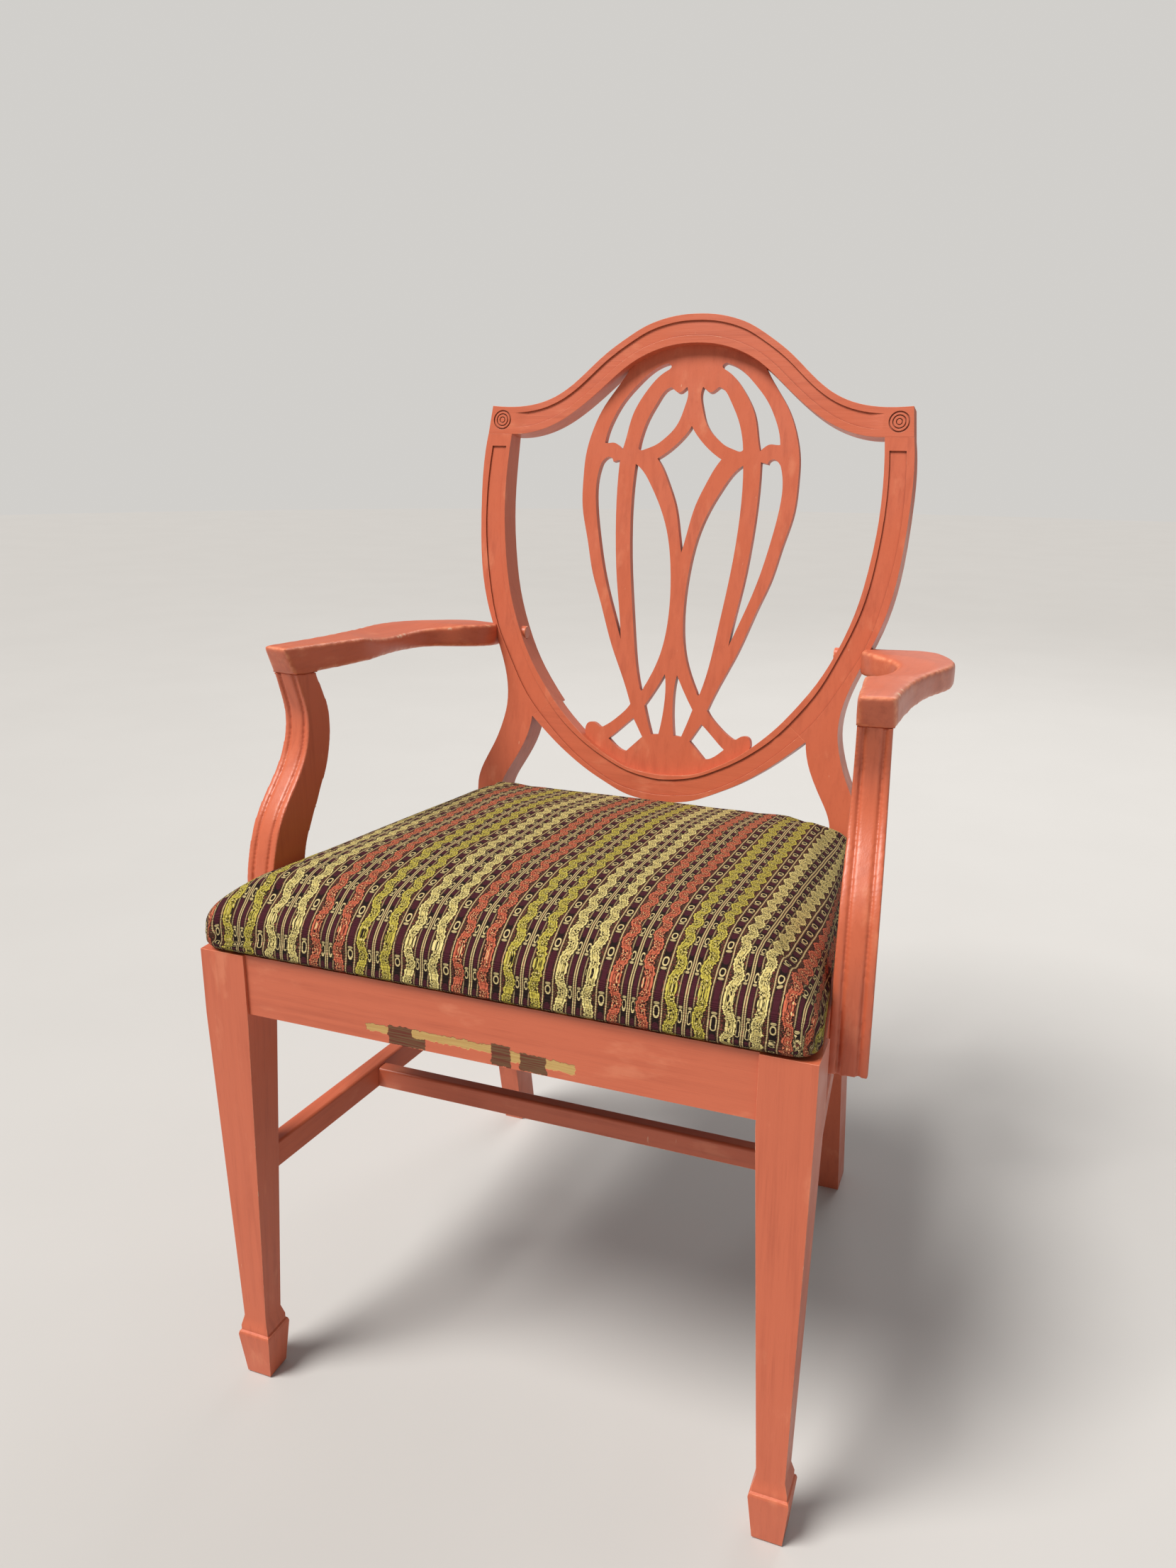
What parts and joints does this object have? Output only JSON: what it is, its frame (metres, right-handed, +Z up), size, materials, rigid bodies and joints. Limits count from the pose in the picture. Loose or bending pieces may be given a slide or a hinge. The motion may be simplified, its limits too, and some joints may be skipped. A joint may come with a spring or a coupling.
{
  "type": "shield back armchair",
  "caption": "Painted wooden dining armchair with a pierced shield-shaped back, tapered legs on spade feet, an H stretcher and a striped upholstered seat.",
  "frame": {"origin": "on the floor, below the middle of the chair's bounding box", "axes": "+Z up, -Y towards the sitter's front, +X to the right of someone who faces the chair"},
  "size_m": [0.5936, 0.5644, 0.9648],
  "materials": {
    "painted_wood": "satin coral paint with light brown glaze and rubbed edges",
    "bare_wood": "unfinished",
    "steel": "plain",
    "plywood": "unfinished",
    "foam": "open-cell foam",
    "striped_fabric": "woven stripes of olive, cream, rust and maroon",
    "black_cloth": "thin dust cloth"
  },
  "bodies": {
    "root": {"crest_rail": "painted_wood", "shield_bottom_rail": "painted_wood", "splat": "painted_wood", "front_rail": "painted_wood", "back_rail": "painted_wood", "cross_stretcher": "painted_wood", "arm_screw_plugs": "painted_wood", "left_back_post": "painted_wood", "right_back_post": "painted_wood", "left_front_leg": "painted_wood", "right_front_leg": "painted_wood", "left_side_rail": "painted_wood", "right_side_rail": "painted_wood", "left_side_stretcher": "painted_wood", "right_side_stretcher": "painted_wood", "left_arm": "painted_wood", "right_arm": "painted_wood", "left_arm_support": "painted_wood", "right_arm_support": "painted_wood", "front_corner_blocks": "bare_wood", "back_corner_blocks": "bare_wood", "rail_dowels": "bare_wood", "crest_dowels": "bare_wood", "shield_rail_dowels": "bare_wood", "arm_dowels": "bare_wood", "corner_block_screws": "steel", "seat_screws": "steel", "arm_support_screws": "steel", "arm_screws": "steel", "seat_tacks": "steel", "seat_board": "plywood", "seat_foam": "foam", "seat_cover": "striped_fabric", "seat_dust_cover": "black_cloth"}
  },
  "joints": []
}
